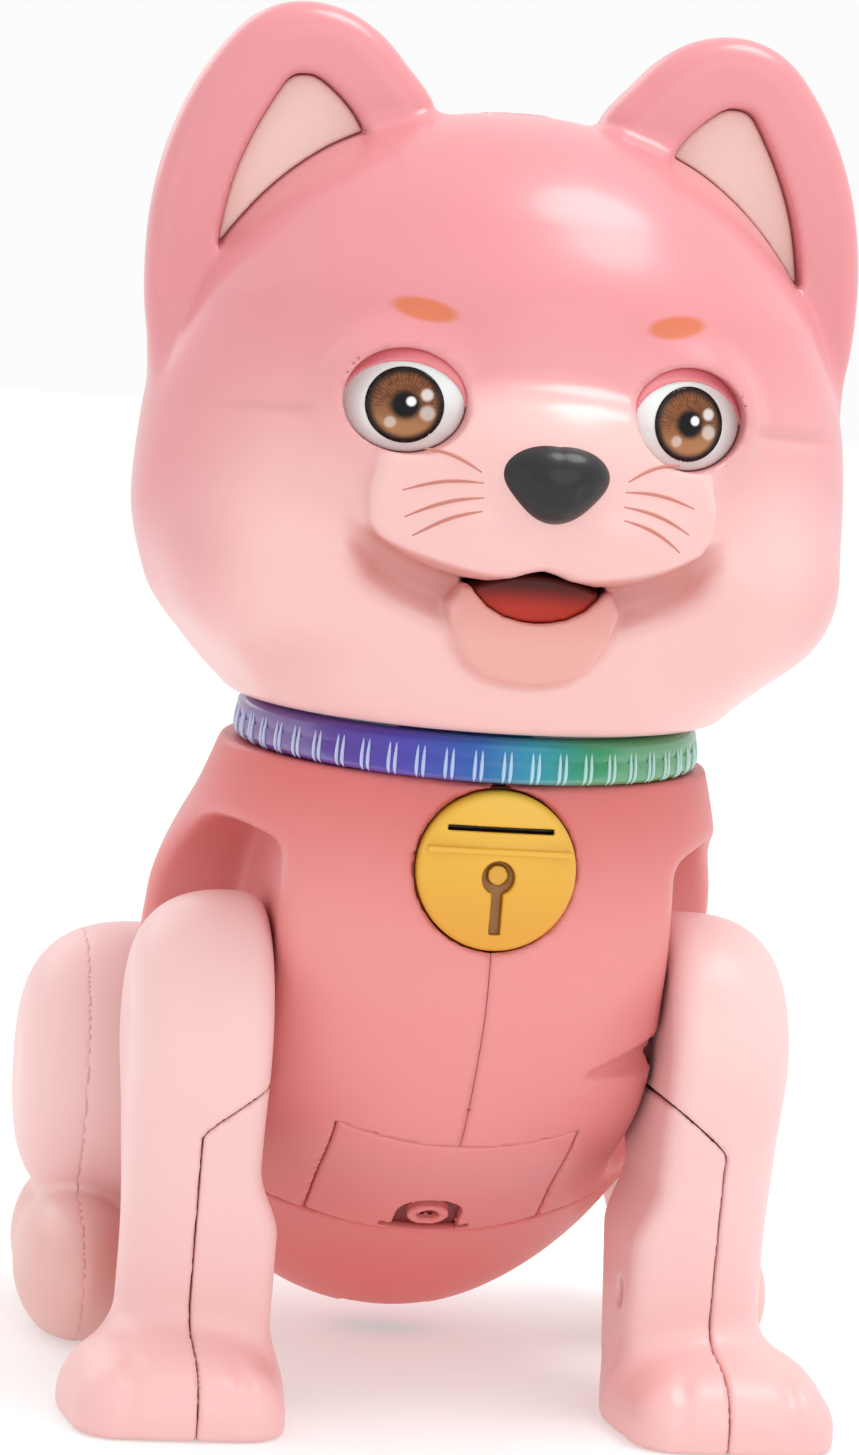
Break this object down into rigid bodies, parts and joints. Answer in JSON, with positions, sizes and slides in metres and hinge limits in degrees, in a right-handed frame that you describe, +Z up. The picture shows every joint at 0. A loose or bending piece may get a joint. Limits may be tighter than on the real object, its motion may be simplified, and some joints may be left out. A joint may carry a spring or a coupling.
{
  "type": "robot dog toy",
  "caption": "Sitting robot puppy toy with swinging legs, turning head, light-up collar and a push-button bell.",
  "frame": {"origin": "on the ground, under the middle of the sitting toy's bounding box", "axes": "+Z up, the dog looks along -Y, +X is the dog's left"},
  "size_m": [0.1446, 0.162, 0.245],
  "materials": {
    "coral_shell": "satin",
    "pink_shell": "satin",
    "leg_shell": "satin",
    "collar_guide": "gloss",
    "bell_gold": "satin",
    "ear_panel": "matt",
    "black_plastic": "matt",
    "nose_black": "gloss",
    "eye_white": "gloss",
    "iris_print": "gloss",
    "tongue_red": "satin",
    "circuit_board": "satin",
    "battery_wrap": "gloss",
    "screw_steel": "bright",
    "spring_steel": "satin",
    "sole_rubber": "matt",
    "bush_white": "matt",
    "door_screw_metal": "dark"
  },
  "bodies": {
    "torso": {"torso_shell_left": "coral_shell", "torso_shell_right": "coral_shell", "seat_shell": "coral_shell", "neck_bearing": "black_plastic", "collar_ring": "collar_guide", "collar_led_board": "circuit_board", "bell_housing": "black_plastic", "bell_switch": "black_plastic", "bell_spring": "spring_steel", "main_board": "circuit_board", "battery_pack": "battery_wrap", "battery_tray": "black_plastic", "speaker": "black_plastic", "switch_body": "black_plastic", "charge_port": "screw_steel", "shoulder_servo_left": "black_plastic", "shoulder_servo_right": "black_plastic", "hip_servo_left": "black_plastic", "hip_servo_right": "black_plastic", "shoulder_bushes": "bush_white", "hip_bushes": "bush_white", "neck_servo": "black_plastic", "chassis_frame": "bush_white", "shell_screws": "screw_steel", "tail": "pink_shell"},
    "head": {"face_shell": "pink_shell", "head_back_shell": "pink_shell", "ear_insert_left": "ear_panel", "ear_insert_right": "ear_panel", "eye_white_left": "eye_white", "eye_white_right": "eye_white", "iris_left": "iris_print", "iris_right": "iris_print", "nose": "nose_black", "tongue": "tongue_red", "head_board": "circuit_board", "neck_post": "bush_white", "head_screws": "screw_steel"},
    "battery_door": {"battery_door": "coral_shell", "door_screw": "door_screw_metal"},
    "bell_button": {"bell_button": "bell_gold"},
    "power_switch": {"power_switch": "black_plastic"},
    "front_leg_left": {"front_leg_outer_left": "leg_shell", "front_leg_inner_left": "leg_shell", "front_foot_pad_left": "sole_rubber", "shoulder_horn_left": "bush_white", "front_leg_screws_left": "screw_steel"},
    "hind_leg_left": {"hind_leg_outer_left": "leg_shell", "hind_leg_inner_left": "leg_shell", "hip_horn_left": "bush_white"},
    "front_leg_right": {"front_leg_outer_right": "leg_shell", "front_leg_inner_right": "leg_shell", "front_foot_pad_right": "sole_rubber", "shoulder_horn_right": "bush_white", "front_leg_screws_right": "screw_steel"},
    "hind_leg_right": {"hind_leg_outer_right": "leg_shell", "hind_leg_inner_right": "leg_shell", "hip_horn_right": "bush_white"}
  },
  "joints": [
    {"name": "head_turn", "type": "hinge", "parent": "torso", "child": "head", "pos_m": [0, -0.0116, 0.119], "axis": [0, -0.0523, 0.9986], "range_deg": [-35, 35]},
    {"name": "front_leg_left_swing", "type": "hinge", "parent": "torso", "child": "front_leg_left", "pos_m": [0.04, -0.021, 0.065], "axis": [-1, 0, 0], "range_deg": [-5, 70]},
    {"name": "front_leg_right_swing", "type": "hinge", "parent": "torso", "child": "front_leg_right", "pos_m": [-0.04, -0.021, 0.065], "axis": [-1, 0, 0], "range_deg": [-5, 70]},
    {"name": "hind_leg_left_swing", "type": "hinge", "parent": "torso", "child": "hind_leg_left", "pos_m": [0.05, 0.041, 0.046], "axis": [1, 0, 0], "range_deg": [0, 70]},
    {"name": "hind_leg_right_swing", "type": "hinge", "parent": "torso", "child": "hind_leg_right", "pos_m": [-0.05, 0.041, 0.046], "axis": [1, 0, 0], "range_deg": [0, 70]},
    {"name": "battery_door_hinge", "type": "hinge", "parent": "torso", "child": "battery_door", "pos_m": [0, -0.0342, 0.0462], "axis": [-1, 0, 0], "range_deg": [0, 75]},
    {"name": "bell_press", "type": "slide", "parent": "torso", "child": "bell_button", "axis": [0, 1, 0], "range_m": [0, 0.0015], "stiffness_N_per_m": 500, "springref_m": -0.002},
    {"name": "power_slide", "type": "slide", "parent": "torso", "child": "power_switch", "axis": [1, 0, 0], "range_m": [0, 0.003]}
  ]
}
